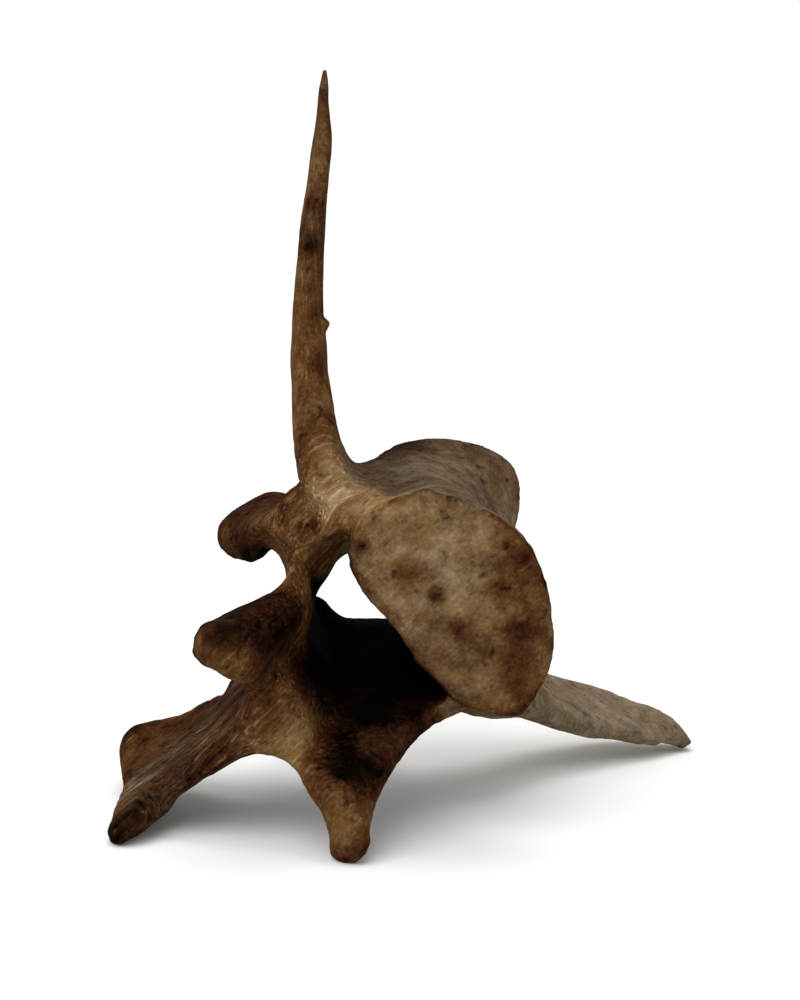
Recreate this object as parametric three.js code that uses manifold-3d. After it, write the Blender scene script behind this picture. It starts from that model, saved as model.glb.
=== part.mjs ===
// A deer's lumbar vertebra, life size, lying at rest on the tip of its spinous process, one caudal
// articular process and one transverse process.
// The bone is described in the animal's own frame, in millimetres: +X to its right, +Y towards its head,
// +Z towards its back, with the origin in the middle of the body's caudal end. It is modelled whole as one
// smooth surface, parted by thin cuts into its named parts, and then laid on its three lowest points.
import * as THREE from "three";
import Module from "manifold-3d";

const wasm = await Module();
wasm.setup();

// Driving dimensions
const cellSize = 1.4; // mesh spacing of the surface
const relaxPasses = 3;
const cutGap = 0.3; // width of the saw cuts between the parts
const bodyLength = 35;
const caudalEnd = { halfWidth: 14.7, top: 9.3, bottom: -9.8, cup: 0.7, shift: -0.9, slant: 0.014 };
const waist = { halfWidth: 10.3, top: 5.6, bottom: -7 };
const cranialEnd = { halfWidth: 11.1, top: 6.3, bottom: -12.4, crown: 1.6 };
const bodyTwist = 0.075; // the caudal end is turned a little about the body's length, in radians
const rimRound = 2.3; // rounding of the body's two rims
const canal = { halfWidth: 7.5, roof: 17.3, floor: 5 };
const wall = { cranial: 3, caudal: 3.3 }; // thickness of the arch round the canal
// Where the arch stands on the body, and how far it spreads there
const pedicle = { caudal: 4.2, cranial: 28, foot: 2.8 };
// The arch's caudal end: it flares from `start`, is squared from `square` and is widest at `full`; its border
// falls back from `tip` by `hoodRake` for each millimetre down the side
const hood = { start: 18, square: 3, full: -8, tip: -14, notch: -5, roof: 24.3 };
const hoodHalf = { right: 12.3, left: 12.9 };
const hoodRake = { right: 1.45, left: 1.12 };
const spinous = { base: 21.4, top: 45.7, lean: -1.5, neck: 8, crest: 14.6, halfThick: 1.7 };
const transverse = { halfBreadth: 6.4, halfThick: 1.55 };
const transverseRight = { reach: 1.055, sweep: 1.055, droop: 1.07, bow: 0 };
const transverseLeft = { reach: 0.98, sweep: 1.1, droop: 0.81, bow: 1 };
const cranialProcess = { tip: 38, side: 10.6, height: 20, halfBreadth: 5.9, halfThick: 3.5 };
const facetGroove = 3.1; // radius of the hollow in which the next bone turns
const caudalProcess = { tip: -12.2, side: 13.2, height: 22.6, halfBreadth: 2.4 };
const caudalRight = { length: 0.94, raise: 0.7, spread: -0.6, broad: 0.6 };
const caudalLeft = { length: 1.14, raise: 0, spread: 0, broad: 0 };

const footFlat = 0.5; // how far the three feet are worn flat
const facing = [0.2484, -0.9648, -0.0863]; // the direction, in the animal's frame, that looks to the front

// Where the saw cuts lie
const transverseCut = 16.3;
const spinousCut = 26.6;
const pedicleCut = 10.4;
const cranialProcessCut = 27.2;
const caudalProcessCut = { y: -0.4, x: 4.6 };

// Blends between distance fields

const clamp01 = (t) => Math.min(Math.max(t, 0), 1);
const mix = (a, b, t) => a + (b - a) * t;
const ease = (t) => clamp01(t) ** 2 * (3 - 2 * clamp01(t));

function smoothMin(a, b, radius) {
  const h = Math.max(radius - Math.abs(a - b), 0) / radius;
  return Math.min(a, b) - (h * h * radius) / 4;
}

const smoothMax = (a, b, radius) => -smoothMin(-a, -b, radius);

// A value that runs smoothly through evenly spaced stops, at share t of the way
function alongStops(stops, t) {
  const place = clamp01(t) * (stops.length - 1);
  const i = Math.min(Math.floor(place), stops.length - 2);
  return mix(stops[i], stops[i + 1], ease(place - i));
}

// Distance from the surface of a section round (0, 0) with half sizes a and b and roundness power n
function sectionDistance(x, z, a, b, n) {
  const reach = Math.hypot(x, z);
  if (reach < 1e-6) return -Math.min(a, b);
  const level = ((Math.abs(x) / a) ** n + (Math.abs(z) / b) ** n) ** (1 / n);
  return reach * (1 - 1 / level);
}

// A flat bar swept along a curve. At each share of its length it has the half breadth and half thickness
// that run through the given stops; `across` is the direction of its breadth.
function sweptBlade({ path, across, breadth, thick, edge = 0.35 }) {
  const steps = 26;
  const curve = new THREE.CatmullRomCurve3(path.map((p) => new THREE.Vector3(...p)), false, "centripetal");
  const stations = Array.from({ length: steps + 1 }, (_, i) => {
    const t = i / steps;
    const tangent = curve.getTangent(t);
    const side = new THREE.Vector3(...across);
    side.addScaledVector(tangent, -side.dot(tangent)).normalize();
    const face = new THREE.Vector3().crossVectors(tangent, side);
    return { at: curve.getPoint(t), tangent, side, face, b: alongStops(breadth, t), h: alongStops(thick, t) };
  });
  return (x, y, z) => {
    let nearest = Infinity;
    let found = 0;
    let share = 0;
    for (let i = 0; i < steps; i++) {
      const p = stations[i].at;
      const q = stations[i + 1].at;
      const [dx, dy, dz] = [q.x - p.x, q.y - p.y, q.z - p.z];
      const [ex, ey, ez] = [x - p.x, y - p.y, z - p.z];
      const s = clamp01((ex * dx + ey * dy + ez * dz) / (dx * dx + dy * dy + dz * dz));
      const gap = (ex - s * dx) ** 2 + (ey - s * dy) ** 2 + (ez - s * dz) ** 2;
      if (gap < nearest) [nearest, found, share] = [gap, i, s];
    }
    const p = stations[found];
    const q = stations[found + 1];
    const [ox, oy, oz] = ["x", "y", "z"].map((k) => mix(p.at[k], q.at[k], share));
    const [ex, ey, ez] = [x - ox, y - oy, z - oz];
    const along = (v) => ex * v.x + ey * v.y + ez * v.z;
    const b = mix(p.b, q.b, share);
    const u = Math.abs(mix(along(p.side), along(q.side), share));
    const w = mix(along(p.face), along(q.face), share);
    const end = mix(along(p.tangent), along(q.tangent), share);
    const h = mix(p.h, q.h, share) * (1 - edge * clamp01(u / b) ** 2);
    return Math.hypot(Math.max(u - (b - h), 0), w, end) - h;
  };
}

// The body: a spool with a flat-topped caudal end, a waist and a heart-shaped cranial end
function vertebralBody(ex, y, ez) {
  const share = clamp01(y / bodyLength);
  const turn = bodyTwist * (1 - share);
  const offset = caudalEnd.shift * (1 - ease(2 * share));
  const x = (ex - offset) * Math.cos(turn) + ez * Math.sin(turn);
  const z = ez * Math.cos(turn) - (ex - offset) * Math.sin(turn);
  const spool = (key) =>
    waist[key] +
    (caudalEnd[key] - waist[key]) * Math.max(1 - 2 * share, 0) ** 2 +
    (cranialEnd[key] - waist[key]) * Math.max(2 * share - 1, 0) ** 2;
  const [half, top, bottom] = ["halfWidth", "top", "bottom"].map(spool);
  const middle = mix(0.8, 0, share);
  const upper = z > middle;
  const roundness = upper ? 2.8 : mix(2.5, 1.85, ease(share));
  const under = bottom * (1 + caudalEnd.slant * x * (1 - share));
  const height = upper ? top - middle : middle - under;
  const side = sectionDistance(x, z - middle, half, height, roundness);
  const dish = Math.max(1 - (x / half) ** 2 - (z / height) ** 2, 0);
  const ends = Math.max(caudalEnd.cup * dish - y, y - bodyLength - cranialEnd.crown * dish);
  return smoothMax(side, ends, rimRound);
}

// Distances from the outer and inner faces of the vault over the canal
function vaultSection(x, y, z) {
  const flare = ease((hood.start - y) / (hood.start - hood.full));
  const square = ease((hood.square - y) / (hood.square - hood.full));
  const thick = mix(wall.cranial, wall.caudal, flare);
  const foot = pedicle.foot * ease((13 - z) / 7) * ease((16 - y) / 8);
  const flared = mix(hoodHalf.left, hoodHalf.right, ease((x + 4) / 8));
  const half = mix(canal.halfWidth + wall.cranial, flared, flare) + foot;
  const roof = mix(canal.roof + wall.cranial, hood.roof, flare);
  const rise = z - canal.floor;
  const outer = sectionDistance(x, Math.max(rise, 0), half, roof - canal.floor, mix(2.4, 5.5, square));
  const height = roof - wall.cranial - canal.floor;
  const inner = sectionDistance(x, rise, half - thick, height, mix(2.1, 4, square));
  return { outer, inner };
}

// The arch: a vault over the canal, flared and squared at its caudal end into a hood. Its caudal border
// slopes from the body up to the tips of the articular processes, with a notch at the middle.
function vertebralArch(x, y, z) {
  const { outer, inner } = vaultSection(x, y, z);
  const shell = smoothMax(outer, -inner, 1.5);
  const rake = mix(hoodRake.left, hoodRake.right, ease((x + 4) / 8));
  const sloped = hood.tip + rake * (hood.roof - 1 - z);
  const border = smoothMin(sloped, pedicle.caudal, 4);
  const notch = mix(hood.notch, hood.tip, ease((Math.abs(x) - 2) / 10));
  const caudalEdge = smoothMax(border, notch, 3);
  const cranialEdge = pedicle.cranial - 5 * ease((z - 14) / 5) * ease((9 - Math.abs(x)) / 6);
  const ends = Math.max((caudalEdge - y) / 1.5, y - cranialEdge);
  return smoothMax(smoothMax(shell, ends, 2.2), canal.floor - 3 - z, 1);
}

const spinousBlade = sweptBlade({
  path: [
    [0, 7, spinous.base],
    [spinous.lean * 0.1, 3, 27],
    [spinous.lean * 0.35, 2, 32],
    [spinous.lean * 0.6, 4, 37],
    [spinous.lean, 3.4, spinous.top - 2.2],
  ],
  across: [0, 1, 0],
  breadth: [10, 8.8, spinous.neck, 11.2, spinous.crest],
  thick: [2.6, 2.2, spinous.halfThick, 1.9, 2.2],
  edge: 0.25,
});

// The spinous process stands on the vault and leaves the canal clear
const spinousProcess = (x, y, z) => smoothMax(spinousBlade(x, y, z), -vaultSection(x, y, z).inner, 1.5);

function transverseBlade(mirror, { reach, sweep, droop, bow }) {
  const root = [14, 20.4, 5.9];
  const beyond = [[10, 7.8, -2.2], [19, 14.6, -7.5], [29, 20.4, -14.8], [37.9, 23.4, -22]];
  const { halfBreadth, halfThick } = transverse;
  const bowed = [-0.6, 0.2, -0.9];
  const grown = beyond.map((step, n) => {
    const lift = n < 3 ? bow : 0;
    return [reach, sweep, droop].map((grow, k) => root[k] + grow * step[k] + lift * bowed[k]);
  });
  return sweptBlade({
    path: [[6, 19, 4.4], [14.7, 20.4, 7.1], ...grown].map(([x, y, z]) => [mirror * x, y, z]),
    across: [0, 1, 0],
    breadth: [8, 7.6, halfBreadth, halfBreadth, halfBreadth, 3],
    thick: [3.2, 3, halfThick + 0.75, halfThick + 0.2, halfThick - 0.3, 1],
    edge: 0.12,
  });
}

function cranialArticular(mirror) {
  const { tip, side, height, halfBreadth, halfThick } = cranialProcess;
  const block = sweptBlade({
    path: [[mirror * 11, 20, 12.4], [mirror * (side - 0.2), 27, 17], [mirror * side, tip - 3.6, height]],
    across: [0.12 * mirror, 0, 1],
    breadth: [3.8, 4.8, halfBreadth],
    thick: [3, 3.2, halfThick],
    edge: 0.1,
  });
  const groove = sweptBlade({
    path: [[mirror * 6.2, 27, 17.8], [mirror * 7.2, 33, 20], [mirror * 7.4, 44, 21.6]],
    across: [0, 0, 1],
    breadth: [facetGroove, facetGroove + 0.5, facetGroove + 0.8],
    thick: [facetGroove - 0.4, facetGroove - 0.2, facetGroove],
    edge: 0,
  });
  return (x, y, z) => smoothMax(block(x, y, z), -groove(x, y, z), 1.2);
}

function caudalArticular(mirror, { length, raise, spread, broad }) {
  const { tip, side, height, halfBreadth } = caudalProcess;
  const root = [7.6, 4, 18];
  const end = [side + spread, tip + 2, height + raise].map((v, k) => root[k] + length * (v - root[k]));
  return sweptBlade({
    path: [root, [10.2, -4, 20.2], end].map(([x, y, z]) => [mirror * x, y, z]),
    across: [0.35 * mirror, 0, 1],
    breadth: [3, 3.4 + broad, halfBreadth + broad],
    thick: [2, 2.2, 1.8],
  });
}

const blades = [
  { field: spinousProcess, blend: 5 },
  { field: transverseBlade(1, transverseRight), blend: 3.6 },
  { field: transverseBlade(-1, transverseLeft), blend: 3.6 },
  { field: cranialArticular(1), blend: 3 },
  { field: cranialArticular(-1), blend: 3 },
  { field: caudalArticular(1, caudalRight), blend: 3 },
  { field: caudalArticular(-1, caudalLeft), blend: 3 },
];

// Distance to the whole bone's surface, negative inside
function bone(x, y, z) {
  const core = smoothMin(vertebralBody(x, y, z), vertebralArch(x, y, z), 3.5);
  return blades.reduce((d, { field, blend }) => smoothMin(d, field(x, y, z), blend), core);
}

// Moves a point along the field's slope on to the surface where the field is zero, at most `limit` at a time
function settleOnSurface(field, point, limit) {
  const nudge = 0.05;
  for (let pass = 0; pass < 2; pass++) {
    const slope = [0, 1, 2].map((axis) => {
      const [a, b] = [[...point], [...point]];
      a[axis] -= nudge;
      b[axis] += nudge;
      return (field(...b) - field(...a)) / (2 * nudge);
    });
    const steep = slope[0] ** 2 + slope[1] ** 2 + slope[2] ** 2;
    const step = THREE.MathUtils.clamp(field(...point) / Math.max(steep, 0.2), -limit, limit);
    slope.forEach((s, axis) => (point[axis] -= step * s));
  }
}

// The edges and faces of a grid cell, whose corners are numbered by three bits, one for each axis
const corners = [0, 1, 2, 3, 4, 5, 6, 7].map((c) => [c & 1, (c >> 1) & 1, c >> 2]);
const edgeBetween = (c, d) => 3 * (c & d) + Math.log2(c ^ d);
const cellFaces = [0, 1, 2].flatMap((axis) => {
  const [p, q] = [1 << (axis + 1) % 3, 1 << (axis + 2) % 3];
  return [0, 1 << axis].map((side) => [side, side | p, side | p | q, side | q]);
});

// The loops in which the surface crosses a cell's edges, from the field's values at its corners
function crossingLoops(values) {
  const inside = values.map((v) => v < 0);
  const loopOf = new Map();
  const join = (e, f) => {
    const [from, to] = [loopOf.get(f) ?? f, loopOf.get(e) ?? e];
    loopOf.set(e, to).set(f, to);
    for (const [edge, loop] of loopOf) if (loop === from) loopOf.set(edge, to);
  };
  for (const face of cellFaces) {
    const sides = face.map((c, n) => [c, face[(n + 1) % 4]]);
    const crossed = sides.filter(([c, d]) => inside[c] !== inside[d]).map(([c, d]) => edgeBetween(c, d));
    if (crossed.length === 2) join(...crossed);
    if (crossed.length < 4) continue;
    for (const n of inside[face[0]] ? [0, 2] : [1, 3]) join(crossed[n], crossed[(n + 3) % 4]);
  }
  return loopOf;
}

// A closed mesh of the surface where the field is zero: a vertex for each loop in which the surface crosses a
// grid cell and a quad across each grid edge that it cuts, then evened out along the surface
function surfaceOf(field, low, high, cell) {
  const count = low.map((v, k) => Math.ceil((high[k] - v) / cell) + 1);
  const [nx, ny, nz] = count;
  const index = (i, j, k) => i + nx * (j + ny * k);
  const values = new Float32Array(nx * ny * nz);
  for (let k = 0; k < nz; k++)
    for (let j = 0; j < ny; j++)
      for (let i = 0; i < nx; i++)
        values[index(i, j, k)] = field(low[0] + i * cell, low[1] + j * cell, low[2] + k * cell);

  const vertexOf = new Int32Array(values.length * 24).fill(-1);
  const points = [];
  for (let k = 0; k < nz - 1; k++)
    for (let j = 0; j < ny - 1; j++)
      for (let i = 0; i < nx - 1; i++) {
        const v = corners.map(([a, b, c]) => values[index(i + a, j + b, k + c)]);
        const loopOf = crossingLoops(v);
        for (const loop of new Set(loopOf.values())) {
          const edges = [...loopOf.keys()].filter((edge) => loopOf.get(edge) === loop);
          const crossings = edges.map((edge) => {
            const from = Math.floor(edge / 3);
            const to = from | (1 << edge % 3);
            const t = v[from] / (v[from] - v[to]);
            return corners[from].map((c, axis) => mix(c, corners[to][axis], t));
          });
          const mean = [0, 1, 2].map((axis) => crossings.reduce((sum, c) => sum + c[axis], 0) / edges.length);
          for (const edge of edges) vertexOf[24 * index(i, j, k) + edge] = points.length;
          points.push([i, j, k].map((n, axis) => low[axis] + cell * (n + mean[axis])));
        }
      }

  const quads = [];
  const steps = [1, nx, nx * ny];
  for (let k = 1; k < nz - 1; k++)
    for (let j = 1; j < ny - 1; j++)
      for (let i = 1; i < nx - 1; i++)
        for (let axis = 0; axis < 3; axis++) {
          const here = index(i, j, k);
          const inside = values[here] < 0;
          if (inside === values[here + steps[axis]] < 0) continue;
          const [u, w] = [(axis + 1) % 3, (axis + 2) % 3];
          const ring = [[u, w], [w], [], [u]].map((before) => {
            const cellAt = before.reduce((at, a) => at - steps[a], here);
            const corner = before.reduce((bits, a) => bits | (1 << a), 0);
            return vertexOf[24 * cellAt + 3 * corner + axis];
          });
          quads.push(inside ? ring : ring.reverse());
        }

  for (let pass = 0; pass < relaxPasses; pass++) {
    const sums = points.map(() => [0, 0, 0, 0]);
    for (const quad of quads)
      quad.forEach((n, at) => {
        for (const other of [quad[(at + 1) % 4], quad[(at + 3) % 4]]) {
          points[other].forEach((v, axis) => (sums[n][axis] += v));
          sums[n][3] += 1;
        }
      });
    sums.forEach(([x, y, z, many], n) => {
      points[n] = [x, y, z].map((v, axis) => mix(points[n][axis], v / many, 0.6));
      settleOnSurface(field, points[n], cell / 3);
    });
  }

  const triangles = quads.flatMap((quad) => {
    const far = (m, n) => Math.hypot(...points[quad[m]].map((c, axis) => c - points[quad[n]][axis]));
    const split = far(0, 2) < far(1, 3) ? [0, 1, 2, 0, 2, 3] : [1, 2, 3, 1, 3, 0];
    return split.map((n) => quad[n]);
  });
  return { points, triangles };
}

const toSolid = (points, triangles) =>
  new wasm.Manifold(
    new wasm.Mesh({
      numProp: 3,
      vertProperties: new Float32Array(points.flat()),
      triVerts: new Uint32Array(triangles),
    }),
  );

// A cutting box between two corners, carried to its place by a matrix
function cuttingBox(low, high, place = new THREE.Matrix4()) {
  const box = new THREE.BoxGeometry(...high.map((v, k) => v - low[k]));
  box.translate(...high.map((v, k) => (v + low[k]) / 2));
  const position = box.getAttribute("position");
  const found = new Map();
  const points = [];
  const triangles = Array.from(box.index.array, (n) => {
    const corner = new THREE.Vector3().fromBufferAttribute(position, n);
    const key = corner.toArray().join();
    if (!found.has(key)) {
      found.set(key, points.length);
      points.push(corner.applyMatrix4(place).toArray());
    }
    return found.get(key);
  });
  return toSolid(points, triangles);
}

const boneLow = [-58, -18, -22];
const boneHigh = [60, 56, 49];
const whole = surfaceOf(bone, boneLow, boneHigh, cellSize);
const g = cutGap / 2;
const far = 70;
const sides = [1, -1];
const cuts = [
  cuttingBox([-far, -far, spinousCut - g], [far, far, spinousCut + g]),
  cuttingBox([-transverseCut, 0, pedicleCut - g], [transverseCut, far, pedicleCut + g]),
  ...sides.map((s) => cuttingBox([s * transverseCut - g, -far, -far], [s * transverseCut + g, far, far])),
  cuttingBox(
    [-transverseCut, cranialProcessCut - g, pedicleCut - g],
    [transverseCut, cranialProcessCut + g, spinousCut],
  ),
  ...sides.flatMap((s) => {
    const inner = s * caudalProcessCut.x;
    const outer = s * transverseCut;
    const { y } = caudalProcessCut;
    return [
      cuttingBox([Math.min(inner, outer), y - g, pedicleCut], [Math.max(inner, outer), y + g, spinousCut]),
      cuttingBox([inner - g, -far, pedicleCut], [inner + g, y + g, spinousCut]),
    ];
  }),
];

// The bone lies on three feet: the spinous tip, the left caudal articular tip and the left transverse tip.
// Its rest is found by laying a plane on the lowest point of each until the plane stops moving.
const feet = [
  ([, , z]) => z > spinous.top - 8,
  ([x, y, z]) => x < -8 && y < -6 && z > 15,
  ([x]) => x < -40,
];
const vertices = whole.points.map((p) => new THREE.Vector3(...p));
const footPoints = feet.map((isFoot) => vertices.filter((v) => isFoot(v.toArray())));
let up = new THREE.Vector3(0.82, 0.17, -0.55).normalize();
let standing = [];
for (let pass = 0; pass < 8; pass++) {
  standing = footPoints.map((points) => points.reduce((low, v) => (v.dot(up) < low.dot(up) ? v : low)));
  const [a, b, c] = standing;
  const normal = new THREE.Vector3().crossVectors(b.clone().sub(a), c.clone().sub(a)).normalize();
  up = normal.dot(up) < 0 ? normal.negate() : normal;
}

// In the rest pose +Z is up and the caudal end looks towards the front, along -Y
const front = new THREE.Vector3(...facing);
const back = front.addScaledVector(up, -front.dot(up)).normalize().negate();
const rightHand = new THREE.Vector3().crossVectors(back, up);
const restTurn = new THREE.Matrix4().makeBasis(rightHand, back, up).transpose();
const floorLevel = standing[0].dot(up) + footFlat;
const laid = new THREE.Box3().setFromPoints(vertices.map((v) => v.clone().applyMatrix4(restTurn)));
const middle = laid.getCenter(new THREE.Vector3());
const rest = new THREE.Matrix4().makeTranslation(-middle.x, -middle.y, -floorLevel).multiply(restTurn);
const underFloor = cuttingBox([-far, -far, -far], [far, far, 0], rest.clone().invert());
const uncut = toSolid(whole.points, whole.triangles);
const parted = [...cuts, underFloor].reduce((solid, cut) => solid.subtract(cut), uncut);

// Each part is the largest piece whose middle lies in the part's own region
const sideOf = (x) => (x > 0 ? "right" : "left");
function partName([x, y, z]) {
  if (Math.abs(x) > transverseCut) return `transverse_process_${sideOf(x)}`;
  if (z > spinousCut) return "spinous_process";
  if (z < pedicleCut) return "vertebral_body";
  if (y > cranialProcessCut) return `cranial_articular_process_${sideOf(x)}`;
  const besideNotch = Math.abs(x) > caudalProcessCut.x;
  if (y < caudalProcessCut.y && besideNotch) return `caudal_articular_process_${sideOf(x)}`;
  return "vertebral_arch";
}

const parts = new Map();
for (const piece of parted.decompose()) {
  const box = piece.boundingBox();
  const name = partName(box.min.map((v, k) => (v + box.max[k]) / 2));
  if (!parts.has(name) || parts.get(name).volume() < piece.volume()) parts.set(name, piece);
}

function toGeometry(solid) {
  const mesh = solid.getMesh();
  const geometry = new THREE.BufferGeometry();
  geometry.setAttribute("position", new THREE.BufferAttribute(mesh.vertProperties, 3));
  geometry.setIndex(new THREE.BufferAttribute(mesh.triVerts, 1));
  geometry.computeVertexNormals();
  return geometry;
}

const stainedBone = { color: 0x7a6548, roughness: 0.75, metalness: 0 };
const vertebra = new THREE.Group();
vertebra.name = "vertebra";
vertebra.applyMatrix4(rest);
for (const name of [...parts.keys()].sort()) {
  const mesh = new THREE.Mesh(toGeometry(parts.get(name)), new THREE.MeshStandardMaterial(stainedBone));
  mesh.name = name;
  vertebra.add(mesh);
}

export default vertebra;
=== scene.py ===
import math

import bmesh
import bpy
import numpy as np
from mathutils import Euler, Matrix, Vector, noise


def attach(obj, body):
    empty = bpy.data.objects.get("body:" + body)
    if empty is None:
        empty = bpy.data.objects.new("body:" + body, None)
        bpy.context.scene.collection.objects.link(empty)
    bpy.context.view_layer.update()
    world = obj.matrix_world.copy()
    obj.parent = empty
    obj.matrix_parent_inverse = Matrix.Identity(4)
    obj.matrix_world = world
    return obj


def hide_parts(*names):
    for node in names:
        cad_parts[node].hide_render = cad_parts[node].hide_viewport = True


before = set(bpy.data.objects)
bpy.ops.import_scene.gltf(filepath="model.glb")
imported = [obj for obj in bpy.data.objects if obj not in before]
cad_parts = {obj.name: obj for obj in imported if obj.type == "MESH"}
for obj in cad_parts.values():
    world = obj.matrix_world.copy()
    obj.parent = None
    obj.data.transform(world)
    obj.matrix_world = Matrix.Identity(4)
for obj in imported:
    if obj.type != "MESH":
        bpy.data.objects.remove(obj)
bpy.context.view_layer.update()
mm = 0.001
print("frame loaded:", len(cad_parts), "parts")


# The bone's own frame in millimetres: x to the animal's right, y to its head, z to its back,
# with the origin in the middle of the body's caudal end
bonePose = {"turn": (163.9417, -53.8573, -162.7637), "origin": (0.943, -21.502, 27.853)}
boneTurn = Euler([math.radians(angle) for angle in bonePose["turn"]]).to_matrix()
boneToRest = Matrix.Translation(bonePose["origin"]) @ boneTurn.to_4x4()
restToBone = np.array(boneToRest.inverted())


def inBoneFrame(places):
    return places / mm @ restToBone[:3, :3].T + restToBone[:3, 3]


def inRestFrame(places):
    return (places @ np.array(boneTurn).T + np.array(bonePose["origin"])) * mm


def ease(value, start, end):
    share = np.clip((value - start) / (end - start), 0, 1)
    return share * share * (3 - 2 * share)


def gapTo(places, place, reach):
    return np.linalg.norm(places - np.array(place), axis=1) / reach


def fade(gap):
    return np.exp(-gap * gap)


def rough(places, size):
    # smooth noise, its lumps about the given size in millimetres (one size, or one for each axis)
    return np.array([noise.noise(place) for place in (places / np.array(size)).tolist()])


# the bone as one continuous skin
skin = {
    "swell": 0.45,  # mm that each part grows so that its saw cuts close, taken off again at the end
    "swellMost": 1.6,  # times that, at a sharp edge
    "merge": 0.002,  # mm between points that are one
    "voxel": 0.41,  # mm between the skin's points
    "evenRounds": 16,
    "wingRounds": 70,  # more for the thin wings
    "wingFrom": (18, 24),  # mm from the middle
    "evenPull": 0.62,
    "evenPush": 0.6386,
}


def oneSkin(settings):
    joined = bmesh.new()
    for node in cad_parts.values():
        part = bmesh.new()
        part.from_mesh(node.data)
        bmesh.ops.remove_doubles(part, verts=part.verts, dist=settings["merge"] * mm)
        part.normal_update()
        swell = settings["swell"] * mm
        most = settings["swellMost"]
        grown = [v.co + v.normal * swell * min(v.calc_shell_factor(), most) for v in part.verts]
        for vert, place in zip(part.verts, grown):
            vert.co = place
        partMesh = bpy.data.meshes.new("grownPart")
        part.to_mesh(partMesh)
        part.free()
        joined.from_mesh(partMesh)
        bpy.data.meshes.remove(partMesh)
    mesh = bpy.data.meshes.new("partsTogether")
    joined.to_mesh(mesh)
    joined.free()
    piece = bpy.data.objects.new("vertebra", mesh)
    bpy.context.scene.collection.objects.link(piece)
    remesh = piece.modifiers.new("oneSkin", "REMESH")
    remesh.mode = "VOXEL"
    remesh.voxel_size = settings["voxel"] * mm
    remesh.adaptivity = 0
    shown = piece.evaluated_get(bpy.context.evaluated_depsgraph_get())
    piece.data = bpy.data.meshes.new_from_object(shown)
    piece.modifiers.clear()
    piece.data.name = "vertebra"
    bpy.data.meshes.remove(mesh)
    return piece


def placesOf(mesh):
    places = np.zeros(len(mesh.vertices) * 3)
    mesh.vertices.foreach_get("co", places)
    return places.reshape(-1, 3)


def putPlaces(mesh, places):
    mesh.vertices.foreach_set("co", places.ravel())
    mesh.update()


def normalsOf(mesh):
    normals = np.zeros(len(mesh.vertices) * 3)
    mesh.vertex_normals.foreach_get("vector", normals)
    return normals.reshape(-1, 3)


def edgesOf(mesh):
    edges = np.zeros(len(mesh.edges) * 2, dtype=np.int64)
    mesh.edges.foreach_get("vertices", edges)
    return edges.reshape(-1, 2)


def neighbourMean(values, edges, count):
    total = np.zeros_like(values)
    for axis in range(values.shape[1]):
        total[:, axis] += np.bincount(edges[:, 0], values[edges[:, 1], axis], len(values))
        total[:, axis] += np.bincount(edges[:, 1], values[edges[:, 0], axis], len(values))
    return total / count[:, None]


def nearMean(values, rounds):
    count = np.bincount(boneEdges.ravel(), minlength=len(values)).astype(float)
    for _ in range(rounds):
        values = neighbourMean(values, boneEdges, count)
    return values


def evenOut(places, edges, settings, rounds, share=1):
    # each round pulls the points together and pushes them apart, so facets fade and no bulk is lost
    count = np.bincount(edges.ravel(), minlength=len(places)).astype(float)
    for _ in range(rounds):
        for pull in (settings["evenPull"], -settings["evenPush"]):
            places = places + share * pull * (neighbourMean(places, edges, count) - places)
    return places


vertebra = oneSkin(skin)
boneMesh = vertebra.data
boneEdges = edgesOf(boneMesh)
putPlaces(boneMesh, placesOf(boneMesh) - normalsOf(boneMesh) * skin["swell"] * mm)
putPlaces(boneMesh, evenOut(placesOf(boneMesh), boneEdges, skin, skin["evenRounds"]))
onWing = ease(np.abs(inBoneFrame(placesOf(boneMesh))[:, :1]), *skin["wingFrom"])
putPlaces(boneMesh, evenOut(placesOf(boneMesh), boneEdges, skin, skin["wingRounds"], onWing))
triangleCount = sum(len(face.vertices) - 2 for face in boneMesh.polygons)
print("one skin:", len(boneMesh.vertices), "points,", triangleCount, "triangles")


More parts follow.
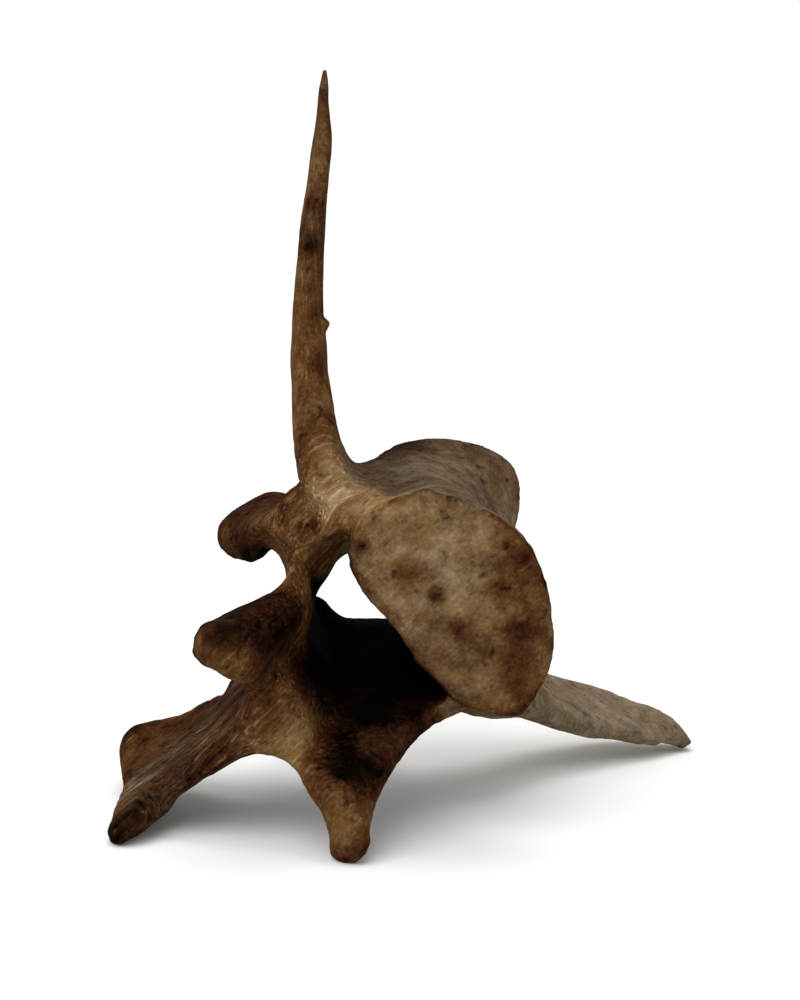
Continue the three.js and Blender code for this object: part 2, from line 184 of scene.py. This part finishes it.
# the bone's own unevenness: places that stand out or are drawn in, with their reach and move in mm
nudges = {
    "plateFarRim": ((-0.3, 0.6, -8.4), 5, (-0.2, 0, -1.1)),
    "plateTopRim": ((9.2, 0.5, -7.2), 4.5, (-1.3, -0.35, 0.8)),
    "plateLeftEdge": ((3, 0.3, 6.2), 3.5, (0, 0.1, -0.7)),
    "plateDorsal": ((-0.8, 0.3, 6.1), 4, (-0.4, 0, -1.2)),
    "plateDorsalLow": ((-9, 0.1, 6.3), 4, (-0.1, 0.1, -1)),
    "plateLowRim": ((-12.3, 0, 5.1), 3, (0.7, 0.2, -0.5)),
    "plateLowLobe": ((-14.2, 0.3, 0.8), 3, (-1.25, -0.25, -0.2)),
    "strutInner": ((10.2, 2.3, 12.1), 3, (1.7, 0.3, 1.2)),
    "strutEdge": ((9.7, 4.2, 11.3), 2.6, (1.1, 0.2, 0.7)),
    "strutOuter": ((12.1, 2.1, 14.7), 2.5, (-0.2, 0, -0.8)),
    "canalNearEdge": ((7.8, 5.9, 12.5), 2.4, (0.55, 0.05, 0.95)),
    "canalFarEdge": ((-3.6, 22.7, 15.9), 4, (1.2, 0.3, -0.1)),
    "canalFarCorner": ((-1, 21.5, 17.3), 2.6, (1.5, 0.5, -0.9)),
    "rightCaudalLow": ((12.2, -11.2, 23.3), 3.5, (-0.9, -0.3, 1.1)),
    "rightCaudalTop": ((13.7, -10.4, 22.7), 3.2, (1.3, 0.3, -0.2)),
    "rightCaudalTip": ((14, -10.1, 24.7), 2, (-0.4, 0, -0.65)),
    "rightCaudalTipLow": ((12.8, -10.3, 25.3), 2, (-0.6, -0.15, 0.1)),
    "cranialTopRight": ((11.1, 25, 0.6), 5, (0.9, 0.2, 0)),
    "cranialTop": ((7, 30, -7.1), 6, (-0.8, -0.2, 0.2)),
    "cranialFar": ((0.5, 31.9, -10.6), 5, (-0.1, 0, -1)),
    "leftWingRoot": ((-19.6, 14.6, 6.5), 5, (1, 0.3, -0.9)),
    "leftWingMiddle": ((-34.6, 34.9, -4.5), 9, (-0.8, -0.2, 0.4)),
    "leftWingTip": ((-47.8, 45.8, -11.3), 5, (0.8, 0.3, -1.3)),
    "spinousFront": ((0.7, 4.5, 43.5), 6, (-0.6, -0.1, -0.8)),
    "spinousEnd": ((0, -10.2, 42.3), 6, (0.2, 0, 0.7)),
    "spinousUnder": ((-2.1, -9.7, 40.3), 3, (1.4, 0.33, 0.36)),
    "spinousCorner": ((0.5, 12.1, 42.8), 3.5, (1.9, 0.5, -0.3)),
    "spinousDip": ((0.8, 9, 38.4), 2.5, (-0.5, -0.1, 0.2)),
    "spinousTop": ((1, 8.5, 34), 6, (-0.8, -0.3, 0.3)),
    "leftCaudalTip": ((-13, -13.8, 22.2), 5, (-0.4, 0, -0.7)),
    "laminaArch": ((-3, -5.6, 24.4), 3.5, (-0.5, -0.2, 0.8)),
    "hookEnd": ((12.8, 29.1, 22.8), 4, (-0.3, 0, -0.4)),
    "hookNotch": ((10.8, 21.8, 18.5), 2.4, (2, 0.6, -1.2)),
    "hookEndLow": ((10.6, 26.6, 22.2), 2, (-0.5, -0.2, 0.4)),
    "hookNotchDeep": ((9, 24.4, 19.8), 2.2, (1.3, 0.4, -0.8)),
    "hookRoot": ((15.2, 19.5, 12.3), 3, (1.8, 0.45, -0.2)),
    "rightWingRoot": ((22, 16.8, 6.7), 5, (-0.2, 0, -0.5)),
    "rightWingUpper": ((47, 37, -12), 5, (-0.2, 0, -0.3)),
    "rightWingTip": ((55, 43.5, -17.5), 5, (0.6, 0.1, 1)),
}
tipTaper = {
    "start": 38,  # mm out along the right wing
    "end": 57,
    "fitTo": 54,  # mm out, as far as its middle line is fitted
    "thin": 0.92,  # shares of thickness and width lost at the end
    "narrow": 0.9,
}


def shapeBone(places, moves, taper):
    shaped = places.copy()
    for place, reach, move in moves.values():
        shaped += fade(gapTo(places, place, reach))[:, None] * np.array(move)
    out = shaped[:, 0]
    near = (out > taper["start"]) & (out < taper["fitTo"])
    middle = [out]
    for axis in (1, 2):
        middle.append(np.polyval(np.polyfit(out[near], shaped[near, axis], 1), out))
    share = np.clip((out - taper["start"]) / (taper["end"] - taper["start"]), 0, 1)
    slim = np.stack([share * 0, taper["narrow"] * share ** 2, taper["thin"] * share ** 3], axis=1)
    return shaped + (np.stack(middle, axis=1) - shaped) * slim


putPlaces(boneMesh, inRestFrame(shapeBone(inBoneFrame(placesOf(boneMesh)), nudges, tipTaper)))
print("shape:", len(nudges), "uneven places")


# regions of the bone, as soft masks over its points: where each starts and where it is full
regions = {
    "plateFacing": (0.35, 0.8),  # how squarely a point faces along the body
    "caudalDepth": (5, 2),  # mm, as all that follow but canalInward
    "caudalHeight": (9.5, 8),
    "cranialDepth": (30, 33),
    "cranialHeight": (9, 7),
    "wing": (15, 19),
    "edgeBulge": (0.25, 0.7),  # how far a point stands out from those around it
    "canalRiseFrom": (8, -10),
    "canalInward": (0.05, 0.5),  # how squarely a point faces the canal's middle
    "canalSide": (12.6, 11.4),
    "canalFloor": (2, 4.5),
    "canalRoof": (25, 23),
    "canalCranial": (31, 25),
    "canalCaudal": (-16, -12),
    # painted shade inside the canal: it darkens deeper in, but not on the canal's low right side
    "canalShadeDepth": (-4, 6),
    "unshadedSide": (6, 9),
    "unshadedFloor": (14, 11),
}
edgeRounds = 40
canalMiddle = {"height": 12.5, "rise": 2}  # mm, with its rise to the caudal end


def maskOf(values, region):
    return ease(values, *regions[region])


where = inBoneFrame(placesOf(boneMesh))
facing = normalsOf(boneMesh) @ restToBone[:3, :3].T
x, y, z = where.T
endPlate = maskOf(-facing[:, 1], "plateFacing") * maskOf(y, "caudalDepth") * maskOf(z, "caudalHeight")
cranialPlate = maskOf(facing[:, 1], "plateFacing") * maskOf(y, "cranialDepth") * maskOf(z, "cranialHeight")
wing = maskOf(np.abs(x), "wing")
bulge = np.sum((where - nearMean(where, edgeRounds)) * facing, axis=1)
edge = maskOf(bulge, "edgeBulge")
below = canalMiddle["height"] + canalMiddle["rise"] * maskOf(y, "canalRiseFrom") - z
inward = (-x * facing[:, 0] + below * facing[:, 2]) / np.maximum(np.hypot(x, below), 1)
canal = maskOf(inward, "canalInward") * maskOf(np.abs(x), "canalSide")
canal = canal * maskOf(z, "canalFloor") * maskOf(z, "canalRoof")
canal = canal * maskOf(y, "canalCranial") * maskOf(y, "canalCaudal") * (1 - wing) * (1 - endPlate)


# the run of the bone's fibres: each region's direction along, its reach and where it leaves the arch
fibres = {
    "arch": {"middle": (0, 0, 22), "along": (-0.17, -0.2, 0.96), "reach": 20, "joint": (0, 0, 0)},
    "rightWing": {
        "middle": (36, 31, -5), "along": (0.8, 0.42, -0.42), "reach": 14, "joint": (21, 17, 6),
    },
    "leftWing": {
        "middle": (-36, 33, -3), "along": (-0.8, 0.48, -0.36), "reach": 14, "joint": (-21, 19, 6),
    },
}
acrossFibres = (0.31, 0.93, 0.2)  # a direction that no region's fibres run in
farFibre = 1e-5  # share that each region keeps far away


def grainFrame(along):
    first = np.array(along) / np.linalg.norm(along)
    second = np.cross(first, acrossFibres)
    second /= np.linalg.norm(second)
    return np.stack([first, second, np.cross(first, second)])


def runOfFibres(regions):
    total = np.zeros((len(where), 3))
    weight = np.zeros(len(where))
    archGrain = grainFrame(regions["arch"]["along"])
    for region in regions.values():
        share = fade(gapTo(where, region["middle"], region["reach"])) + farFibre
        joint = np.array(region["joint"])
        total += share[:, None] * ((where - joint) @ grainFrame(region["along"]).T + archGrain @ joint)
        weight += share
    return total / weight[:, None]


grain = runOfFibres(fibres)


# fine relief: fibre ridges, pores, worn edges, small holes and the nub on the right wing's edge
relief = {
    "ridge": 0.1,  # mm high, along the fibres
    "ridgeSize": (7, 0.75, 0.75),
    "wave": 0.16,
    "waveSize": 5,
    "plateGrain": 0.06,
    "plateGrainSize": 0.9,
    "worn": 0.12,  # mm, along the edges
    "wornSize": 1.3,
    "fineRidge": 0.5,  # shares of the ridges' height and size
    "fineRidgeSize": 0.6,
    "canalSmooth": 0.6,  # share of the ridges that the canal lacks
    "fineShift": 9,  # mm that a pattern is moved so that it doesn't repeat another
    "wornShift": 31,
    "holeReach": 0.845,  # share of a hole's radius where it fades
}
boneHoles = {  # place in the bone's frame, radius and depth in mm; a bump has a depth below zero
    "canalPitNear": {"at": (-7.8, -8.4, 19.5), "radius": 1.1, "depth": 0.9},
    "canalPitFar": {"at": (-6.8, 0.1, 15.4), "radius": 1.3, "depth": 1.0},
    "plateSlit": {"at": (10.6, 0.1, 5.6), "radius": 0.7, "depth": 0.6},
    "hookHollow": {"at": (10.3, 25.8, 22.5), "radius": 1.6, "depth": 1.0},
    "rightRecess": {"at": (11.4, 4.4, 8.0), "radius": 1.6, "depth": 0.8},
    "leftRecess": {"at": (-11.5, 5, 8.2), "radius": 1.4, "depth": 0.7},
    "underHoleRight": {"at": (2.4, 16, -7), "radius": 0.8, "depth": 0.8},
    "underHoleLeft": {"at": (-2.9, 18.5, -7), "radius": 0.9, "depth": 0.9},
    "plateSpot": {"at": (1, 0.7, 1.9), "radius": 0.8, "depth": 0.25},
    "plateSpotLow": {"at": (-3.8, 0.6, 1.5), "radius": 1.1, "depth": 0.25},
    "wingNub": {"at": (29.6, 27.9, -1.7), "radius": 0.9, "depth": -0.9},
}


def reliefOf(settings, holes):
    fineSize = np.array(settings["ridgeSize"]) * settings["fineRidgeSize"]
    ridges = settings["fineRidge"] * rough(grain + settings["fineShift"], fineSize)
    ridges += rough(grain, settings["ridgeSize"])
    plates = np.maximum(endPlate, cranialPlate)
    height = settings["ridge"] * ridges * (1 - plates) * (1 - settings["canalSmooth"] * canal)
    height += settings["wave"] * rough(where, settings["waveSize"])
    height += settings["plateGrain"] * rough(where, settings["plateGrainSize"]) * plates
    height += settings["worn"] * rough(where + settings["wornShift"], settings["wornSize"]) * edge
    for hole in holes.values():
        height -= hole["depth"] * fade(gapTo(where, hole["at"], hole["radius"] * settings["holeReach"]))
    return height


carved = placesOf(boneMesh) + normalsOf(boneMesh) * (reliefOf(relief, boneHoles) * mm)[:, None]
carved[:, 2] = np.maximum(carved[:, 2], 0)
putPlaces(boneMesh, carved)
print("relief: ridges, pores and", len(boneHoles), "small holes and bumps")


# where the bone is stained, and where shade is painted into its colour: each patch's place, reach,
# paleness, greyness and share of pale fibres
plateStains = {
    "middle": ((3, 0, -1), 5, 0.7, 0.5, 0.2),
    "top": ((10.5, 0, -2), 5, 0.62, 0.15, 0.2),
    "left": ((9.5, 0, 4.5), 4, 0.67, 0.25, 0.3),
    "leftLow": ((-3, 0, 6.5), 4, 0.6, 0.2, 0.3),
    "low": ((-9, 0, 3), 5, 0.5, 0.4, 0.2),
    "farRim": ((0, 0, -9), 4, 0.54, 0, 0.2),
    "right": ((-7, 0, -5), 5, 0.54, 0.1, 0.2),
    "lowRim": ((-14, 0, 1), 4, 0.48, 0.1, 0.2),
}
boneStainsAndShade = {
    "bodySide": ((8.5, 24, -4), 6, 0.52, 0.95, 0),
    "bodyShade": ((11, 16.5, 1), 4, 0.38, 0.8, 0),
    "bodyFar": ((1, 32, -10.5), 6, 0.48, 0.5, 0),
    "bodyFarLow": ((-3, 29, -9), 3.5, 0.68, 0.5, 0.4),
    "cranialRim": ((12, 30, 0), 5, 0.18, 0.3, 0),
    "bodyUnder": ((0, 14, -8), 7, 0.54, 0.75, 0.1),
    "bodyLeft": ((-11, 18, -2), 8, 0.5, 0.6, 0.2),
    "cranialEnd": ((0, 38, -3), 8, 0.55, 0.8, 0.1),
    "rightWingRoot": ((17.5, 13, 7), 4, 0.86, 0.1, 0.6),
    "rightWingEdge": ((19, 16, 9.5), 3.5, 0.1, 0, 0.4),
    "rightWingLow": ((25, 21, 3), 6, 0.48, 0, 0.4),
    "rightWingMiddle": ((32, 27, -1), 6, 0.44, 0, 0.4),
    "rightWingUpper": ((40, 32.5, -6), 5, 0.33, 0.3, 0.3),
    "rightWingDark": ((43, 34.5, -8), 3, 0.5, 0.1, 0.3),
    "rightWingPale": ((46, 36.5, -11), 4, 0.5, 0.05, 0.3),
    "rightWingTip": ((53, 42, -16), 5, 0.36, 0.15, 0.3),
    "leftWingRoot": ((-24, 27, 3), 8, 0.66, 0.85, 0),
    "leftWingMiddle": ((-36, 36, -4), 9, 0.72, 0.9, 0),
    "leftWingTip": ((-50, 44, -12), 8, 0.74, 0.85, 0),
    "rightHook": ((13, 30, 19), 6, 0.25, 0, 0.15),
    "rightHookEnd": ((11, 27, 22), 3, 0.32, 0, 0.1),
    "rightHookNeck": ((13, 22, 15.5), 4, 0.46, 0, 0.5),
    "leftHook": ((-11, 32, 20), 7, 0.35, 0.2, 0.4),
    "rightPedicle": ((13, 13, 9), 4, 0.76, 0.1, 1),
    "rightPedicleRed": ((12.2, 17, 14), 3, 0.46, 0, 0.9),
    "rightStrut": ((10, 3, 14), 4, 0.46, 0, 0.8),
    "rightPedicleFoot": ((13.2, 4.6, 5.4), 2.6, 0.72, 0.15, 0.4),
    "rightRecess": ((11, 4.5, 8), 3, 0.34, 0, 0.6),
    "rightCaudalRoot": ((9, -6, 17), 4, 0.1, 0, 0.5),
    "rightCaudal": ((13, -11, 21), 5, 0.19, 0, 0.12),
    "rightCaudalEdge": ((9.5, -11.7, 23), 2.8, 0.85, 0.05, 0.8),
    "rightCaudalRed": ((13, -10.5, 24), 2, 0.62, 0, 0.2),
    "laminaNear": ((2, -5.5, 21), 3, 0.36, 0, 0.6),
    # painted shade: near black where the canal's mouth meets the lamina
    "canalEdge": ((-0.5, -1.5, 19.3), 2.6, 0.04, 0, 0.6),
    "canalEdgeLow": ((-5.8, -2.9, 19), 2.4, 0.1, 0, 0.6),
    "lamina": ((-2.5, -6, 22.3), 3.5, 0.76, 0.05, 0.6),
    "leftCaudalTip": ((-13, -13.6, 22), 4.5, 0.54, 0, 0.25),
    "leftCaudalEdge": ((-8, -11, 23), 3.5, 0.57, 0, 0.3),
    # painted shade in the recess under the left caudal articular process, beside the canal wall
    "leftCaudalRoot": ((-7.6, -7.5, 18.5), 3.2, -0.2, 0, 0.3),
    "leftCaudalSide": ((-10, -6, 15.5), 3.5, 0.34, 0, 0.25),
    # painted shade: the canal's left wall, near black
    "leftWall": ((-9, 3, 11.5), 4, 0, 0, 0.3),
    "leftWallEdge": ((-11.5, 0, 9), 3, 0.36, 0, 0.4),
    "leftPedicle": ((-12, 10, 9), 5, 0.2, 0, 0.3),
    "leftPedicleFoot": ((-13.5, 3, 8), 3.5, 0.34, 0, 0.2),
    "leftWingNeck": ((-17.5, 12.5, 7), 4, 0.56, 0.4, 0.1),
    "spinousNeck": ((1, -3, 28), 4, 0.29, 0.1, 0.8),
    "spinousMiddle": ((0.5, -1, 35), 5, 0.27, 0.4, 1),
    "spinousTip": ((0, -4, 41), 5, 0.47, 0.55, 1),
    "spinousEnd": ((0, -11, 44), 3.5, 0.27, 0, 0.4),
    "spinousCorner": ((0, 13, 43), 6, 0.34, 0, 0.3),
    "spinousEdge": ((0, -8, 36), 4, 0.14, 0, 0.3),
}
stainAndShadeBlots = {  # place, radius and how much darker
    "plateSpot": ((1, 0.7, 1.9), 1.1, 0.4),
    "plateSpotLow": ((-3.8, 0.6, 1.5), 1.2, 0.26),
    "plateSpotLowest": ((-6.4, 0.6, 0.2), 1.3, 0.2),
    "plateBrown": ((4.7, 0.5, 2.7), 2, 0.24),
    "plateBrownLeft": ((4.9, 0.4, 4.5), 1.6, 0.1),
    "plateBandTop": ((-0.7, 0.5, -6), 1.4, 0.12),
    "plateBand": ((-2.4, 0.6, -4.5), 2.2, 0.16),
    "plateRight": ((-7.6, 0.4, -4.6), 2, 0.22),
    "plateRightLow": ((-10.1, 0.4, -1.9), 1.6, 0.2),
    "plateRim": ((-0.5, 0.5, -9), 1.6, 0.2),
    "plateLine": ((-12.4, 0.2, -0.1), 1.1, 0.16),
    "plateSlit": ((10.6, 0.1, 5.6), 0.8, 0.4),
    "wingSpot": ((42.8, 34.4, -7.7), 1.2, 0.16),
    "wingSpotTwo": ((38.1, 31.2, -4.8), 1.1, 0.3),
    "wingSpotLow": ((26.5, 23.1, 0.6), 1.3, 0.2),
    "wingNub": ((30.8, 28.8, -2.3), 1.2, 0.4),
    # painted shade in the hollow of the hook's joint face
    "hookHollow": ((10.3, 25.8, 22.5), 1.5, 0.3),
    "pedicleSpot": ((11.4, 16.1, 11.1), 1.2, 0.3),
    "canalPit": ((-6.8, 0.1, 15.4), 2, 0.2),
}
farStain = 1e-6  # share that each patch keeps far away
edgeDarker = 0.18


def blendOf(patches):
    total = np.zeros((len(where), 3))
    weight = np.zeros(len(where))
    for place, reach, *values in patches.values():
        gap = gapTo(where, place, reach)
        share = fade(gap) + farStain / (1 + gap)
        total += share[:, None] * np.array(values)
        weight += share
    return total / weight[:, None]


onPlate = endPlate[:, None]
pale, grey, streak = (blendOf(plateStains) * onPlate + blendOf(boneStainsAndShade) * (1 - onPlate)).T
for place, radius, darker in stainAndShadeBlots.values():
    blot = darker * fade(gapTo(where, place, radius))
    pale = pale - blot
    grey = grey - blot
pale = pale - edgeDarker * edge
# painted shade: the inside of the canal is darkened towards near black, more deeply in, with its low right
# side left out
canalShadeMask = canal * maskOf(y, "canalShadeDepth") * (1 - maskOf(x, "unshadedSide") * maskOf(z, "unshadedFloor"))
attributes = {
    "paleness": ("FLOAT", pale, "value"),
    "greyness": ("FLOAT", grey, "value"),
    "streak": ("FLOAT", streak, "value"),
    "paintedCanalShade": ("FLOAT", canalShadeMask, "value"),
    "plate": ("FLOAT", endPlate, "value"),
    "grain": ("FLOAT_VECTOR", grain.ravel(), "vector"),
}
for name, (kind, values, field) in attributes.items():
    boneMesh.attributes.new(name, kind, "POINT").data.foreach_set(field, values.astype(np.float32))
boneMesh.polygons.foreach_set("use_smooth", [True] * len(boneMesh.polygons))
print("stain:", len(plateStains) + len(boneStainsAndShade), "patches and", len(stainAndShadeBlots), "blots")


# materials
def linear(hexColour):
    parts = [int(hexColour[i:i + 2], 16) / 255 for i in (1, 3, 5)]
    return [c / 12.92 if c <= 0.04045 else ((c + 0.055) / 1.055) ** 2.4 for c in parts] + [1]


def addNode(tree, kind, sockets=None, stops=None, **settings):
    node = tree.nodes.new(kind)
    for key, value in settings.items():
        setattr(node, key, value)
    for key, value in (sockets or {}).items():
        if isinstance(value, bpy.types.NodeSocket):
            tree.links.new(value, node.inputs[key])
        else:
            node.inputs[key].default_value = value
    for place, colour in (stops or {}).items():
        ramp = node.color_ramp.elements
        stop = ramp[0] if place == 0 else ramp[-1] if place == 1 else ramp.new(place)
        stop.color = linear(colour)
    return node


# Old bone, dug up and stained by peat and soil: matte brown that goes from near black to tan along its
# fibres, greyer where it has weathered, with dark specks in its pores. Painted shade darkens the inside of
# the canal to near black.
stainedBone = {
    "brown": {
        0: "#080402", 0.15: "#200f07", 0.3: "#392010", 0.45: "#50341b",
        0.6: "#674b2c", 0.75: "#7c603e", 0.9: "#957955", 1: "#b09572",
    },
    "grey": {
        0: "#0a0806", 0.3: "#362c22", 0.45: "#4c4032", 0.6: "#645745",
        0.75: "#7b6d5a", 0.9: "#8e816e", 1: "#a09482",
    },
    # painted shade inside the canal, near black
    "paintedCanalShade": "#040201",
    "alongFibres": {  # patterns: size in mm, detail and roughness
        "fibre": ((4.5, 0.28, 0.28), 3, 0.6),
        "strand": ((12, 0.5, 0.5), 3, 0.6),
    },
    "allOver": {
        "cloud": ((7, 7, 7), 3, 0.5),
        "mottle": ((2.6, 2.6, 2.6), 5, 0.62),
        "greying": ((3.4, 3.4, 3.4), 3, 0.6),
        "fleck": ((1.7, 1.7, 1.7), 2, 0.5),
        "speckle": ((0.45, 0.45, 0.45), 3, 0.65),
    },
    "levels": {  # a pattern's range, and the range that it becomes
        "paleStrand": ("strand", 0.55, 0.68, 0, 0.34),
        "darkStrand": ("strand", 0.28, 0.44, 0.16, 0),
        "darkFleck": ("fleck", 0.6, 0.72, 0, 0.2),
        "roughness": ("speckle", 0, 1, 0.65, 0.9),
    },
    "cloudSwing": 0.34,  # how far a pattern swings the tone
    "mottleSwing": 0.6,
    "plateMottle": 0.2,  # more on the body's end
    "speckleSwing": 0.42,
    "fibreSwing": 0.55,
    "leastFibre": 0.06,
    "greySwing": 1.1,
    # how much the mottle breaks up the painted canal shade, and how much is added to it
    "canalShadeSwing": 0.5,
    "canalShadeMore": 0.15,
    "fibreDepth": 0.12,  # mm
    "bumpSpeckle": 0.6,
    "bumpFibre": 0.25,
    "bumpStrength": 0.6,
    "ior": 1.54,
    "specular": 0.006,
}


def boneMaterial(settings):
    material = bpy.data.materials.new("peat stained bone")
    material.use_nodes = True
    tree = material.node_tree
    tree.nodes.clear()
    mathNode = "ShaderNodeMath"
    read = {name: addNode(tree, "ShaderNodeAttribute", attribute_name=name) for name in attributes}
    amount = {name: node.outputs["Fac"] for name, node in read.items()}
    place = addNode(tree, "ShaderNodeTexCoord").outputs["Object"]
    inMm = addNode(tree, "ShaderNodeMapping", {"Vector": place, "Scale": (1 / mm, 1 / mm, 1 / mm)})
    sources = {"alongFibres": read["grain"].outputs["Vector"], "allOver": inMm.outputs[0]}
    pattern = {}
    for run, source in sources.items():
        for name, (sizes, detail, roughness) in settings[run].items():
            scale = tuple(1 / size for size in sizes)
            scaled = addNode(tree, "ShaderNodeMapping", {"Vector": source, "Scale": scale})
            pattern[name] = addNode(tree, "ShaderNodeTexNoise", {
                "Vector": scaled.outputs[0], "Scale": 1, "Detail": detail, "Roughness": roughness,
            }).outputs["Fac"]
    level = {}
    for name, (source, *limits) in settings["levels"].items():
        ends = dict(zip(("From Min", "From Max", "To Min", "To Max"), limits))
        level[name] = addNode(tree, "ShaderNodeMapRange", {"Value": pattern[source], **ends}).outputs[0]

    def swing(name, share, onto):
        # adds the pattern, swung either side of its middle, to a value
        off = addNode(tree, mathNode, {0: pattern[name], 1: 0.5}, operation="SUBTRACT").outputs[0]
        return addNode(tree, mathNode, {0: off, 1: share, 2: onto}, operation="MULTIPLY_ADD").outputs[0]

    tone = swing("cloud", settings["cloudSwing"], amount["paleness"])
    tone = addNode(tree, mathNode, {0: tone, 1: level["darkFleck"]}, operation="SUBTRACT").outputs[0]
    mottled = addNode(tree, mathNode, {
        0: amount["plate"], 1: settings["plateMottle"], 2: settings["mottleSwing"],
    }, operation="MULTIPLY_ADD").outputs[0]
    tone = swing("mottle", mottled, tone)
    tone = swing("speckle", settings["speckleSwing"], tone)
    fibred = addNode(tree, mathNode, {
        0: amount["streak"], 1: settings["fibreSwing"], 2: settings["leastFibre"],
    }, operation="MULTIPLY_ADD").outputs[0]
    tone = swing("fibre", fibred, tone)
    tone = addNode(tree, mathNode, {
        0: level["paleStrand"], 1: amount["streak"], 2: tone,
    }, operation="MULTIPLY_ADD").outputs[0]
    darker = addNode(tree, mathNode, {
        0: level["darkStrand"], 1: amount["streak"],
    }, operation="MULTIPLY").outputs[0]
    tone = addNode(tree, mathNode, {0: tone, 1: darker}, operation="SUBTRACT").outputs[0]
    ramps = {
        name: addNode(tree, "ShaderNodeValToRGB", {"Fac": tone}, stops=settings[name]).outputs["Color"]
        for name in ("brown", "grey")
    }
    weathered = addNode(tree, "ShaderNodeMix", {
        "Factor": swing("greying", settings["greySwing"], amount["greyness"]),
        6: ramps["brown"], 7: ramps["grey"],
    }, data_type="RGBA", clamp_factor=True).outputs[2]
    # painted shade: the inside of the canal turns near black, broken up by the mottle
    canalShadeMost = addNode(tree, mathNode, {
        0: amount["paintedCanalShade"], 1: settings["canalShadeMore"],
    }, operation="ADD").outputs[0]
    canalShadeShare = addNode(tree, mathNode, {
        0: swing("mottle", settings["canalShadeSwing"], canalShadeMost), 1: amount["paintedCanalShade"],
    }, operation="MULTIPLY").outputs[0]
    colour = addNode(tree, "ShaderNodeMix", {
        "Factor": canalShadeShare, 6: weathered, 7: linear(settings["paintedCanalShade"]),
    }, data_type="RGBA", clamp_factor=True).outputs[2]
    ridged = addNode(tree, mathNode, {
        0: amount["streak"], 1: settings["bumpFibre"],
    }, operation="ADD").outputs[0]
    ridges = addNode(tree, mathNode, {0: pattern["fibre"], 1: ridged}, operation="MULTIPLY").outputs[0]
    bump = addNode(tree, "ShaderNodeBump", {
        "Height": swing("speckle", settings["bumpSpeckle"], ridges),
        "Strength": settings["bumpStrength"], "Distance": settings["fibreDepth"] * mm,
    })
    shader = addNode(tree, "ShaderNodeBsdfPrincipled", {
        "Base Color": colour, "Roughness": level["roughness"], "Normal": bump.outputs[0],
        "IOR": settings["ior"], "Specular IOR Level": settings["specular"],
    })
    addNode(tree, "ShaderNodeOutputMaterial", {"Surface": shader.outputs[0]})
    return material


boneMesh.materials.clear()
boneMesh.materials.append(boneMaterial(stainedBone))
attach(vertebra, "root")
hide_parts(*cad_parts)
print("bone material on", vertebra.name)


# the studio: a pale sweep of paper, soft light and the camera
studio = {
    "paper": "#f4f4f2",
    "paperRoughness": 0.9,
    "paperHalf": 4,  # m
    "sweepRadius": 0.5,
    "sweepSteps": 16,
    "back": 0.9,
    "sky": 0.56,
    "lamps": {  # watts, size, place and aim in metres
        "softbox": (6.5, 0.9, (-0.35, -0.5, 0.65), (0, 0, 0.04)),
        "paperLamp": (9, 0.8, (0, 0.35, 1.3), (0, 1.3, 0.3)),
    },
}


def only(kind, geometry):
    return [item for item in geometry if isinstance(item, kind)]


def paperSweep(settings):
    sheet = bmesh.new()
    half = settings["paperHalf"]
    back = settings["back"]
    front = [sheet.verts.new((side * half, -half, 0)) for side in (-1, 1)]
    flat = bmesh.ops.extrude_edge_only(sheet, edges=[sheet.edges.new(front)])["geom"]
    bmesh.ops.translate(sheet, verts=only(bmesh.types.BMVert, flat), vec=(0, half + back, 0))
    bend = bmesh.ops.spin(
        sheet, geom=only(bmesh.types.BMEdge, flat), cent=(0, back, settings["sweepRadius"]), axis=(1, 0, 0),
        angle=math.radians(90), steps=settings["sweepSteps"],
    )["geom_last"]
    rise = bmesh.ops.extrude_edge_only(sheet, edges=only(bmesh.types.BMEdge, bend))["geom"]
    bmesh.ops.translate(sheet, verts=only(bmesh.types.BMVert, rise), vec=(0, 0, half))
    bmesh.ops.recalc_face_normals(sheet, faces=sheet.faces)
    mesh = bpy.data.meshes.new("paperSweep")
    sheet.to_mesh(mesh)
    sheet.free()
    mesh.polygons.foreach_set("use_smooth", [True] * len(mesh.polygons))
    floor = bpy.data.objects.new("paperSweep", mesh)
    bpy.context.scene.collection.objects.link(floor)
    paper = bpy.data.materials.new("matte white paper")
    paper.use_nodes = True
    shader = paper.node_tree.nodes["Principled BSDF"]
    shader.inputs["Base Color"].default_value = linear(settings["paper"])
    shader.inputs["Roughness"].default_value = settings["paperRoughness"]
    mesh.materials.append(paper)
    return floor


def lightStudio(settings):
    world = bpy.data.worlds.new("studio")
    world.use_nodes = True
    sky = world.node_tree.nodes["Background"]
    sky.inputs["Color"].default_value = (1, 1, 1, 1)
    sky.inputs["Strength"].default_value = settings["sky"]
    bpy.context.scene.world = world
    for name, (power, size, place, aim) in settings["lamps"].items():
        lamp = bpy.data.lights.new(name, "AREA")
        lamp.energy = power
        lamp.size = size
        light = bpy.data.objects.new(name, lamp)
        light.location = place
        light.rotation_euler = (Vector(aim) - Vector(place)).to_track_quat("-Z", "Y").to_euler()
        bpy.context.scene.collection.objects.link(light)


# The camera stands just above the floor in front of the bone and looks a little down
cameraView = {"place": (-5.861, -204.202, 55.168), "turn": (84.707, -3.574, 0.33), "lens": 59.96}


def setCamera(settings):
    camera = bpy.data.objects.new("camera", bpy.data.cameras.new("camera"))
    camera.data.lens = settings["lens"]
    camera.data.clip_start = 0.01
    camera.location = [c * mm for c in settings["place"]]
    camera.rotation_euler = [math.radians(angle) for angle in settings["turn"]]
    bpy.context.scene.collection.objects.link(camera)
    bpy.context.scene.camera = camera


paperSweep(studio)
lightStudio(studio)
setCamera(cameraView)
bpy.context.scene.view_settings.view_transform = "Standard"
print("studio and camera set")
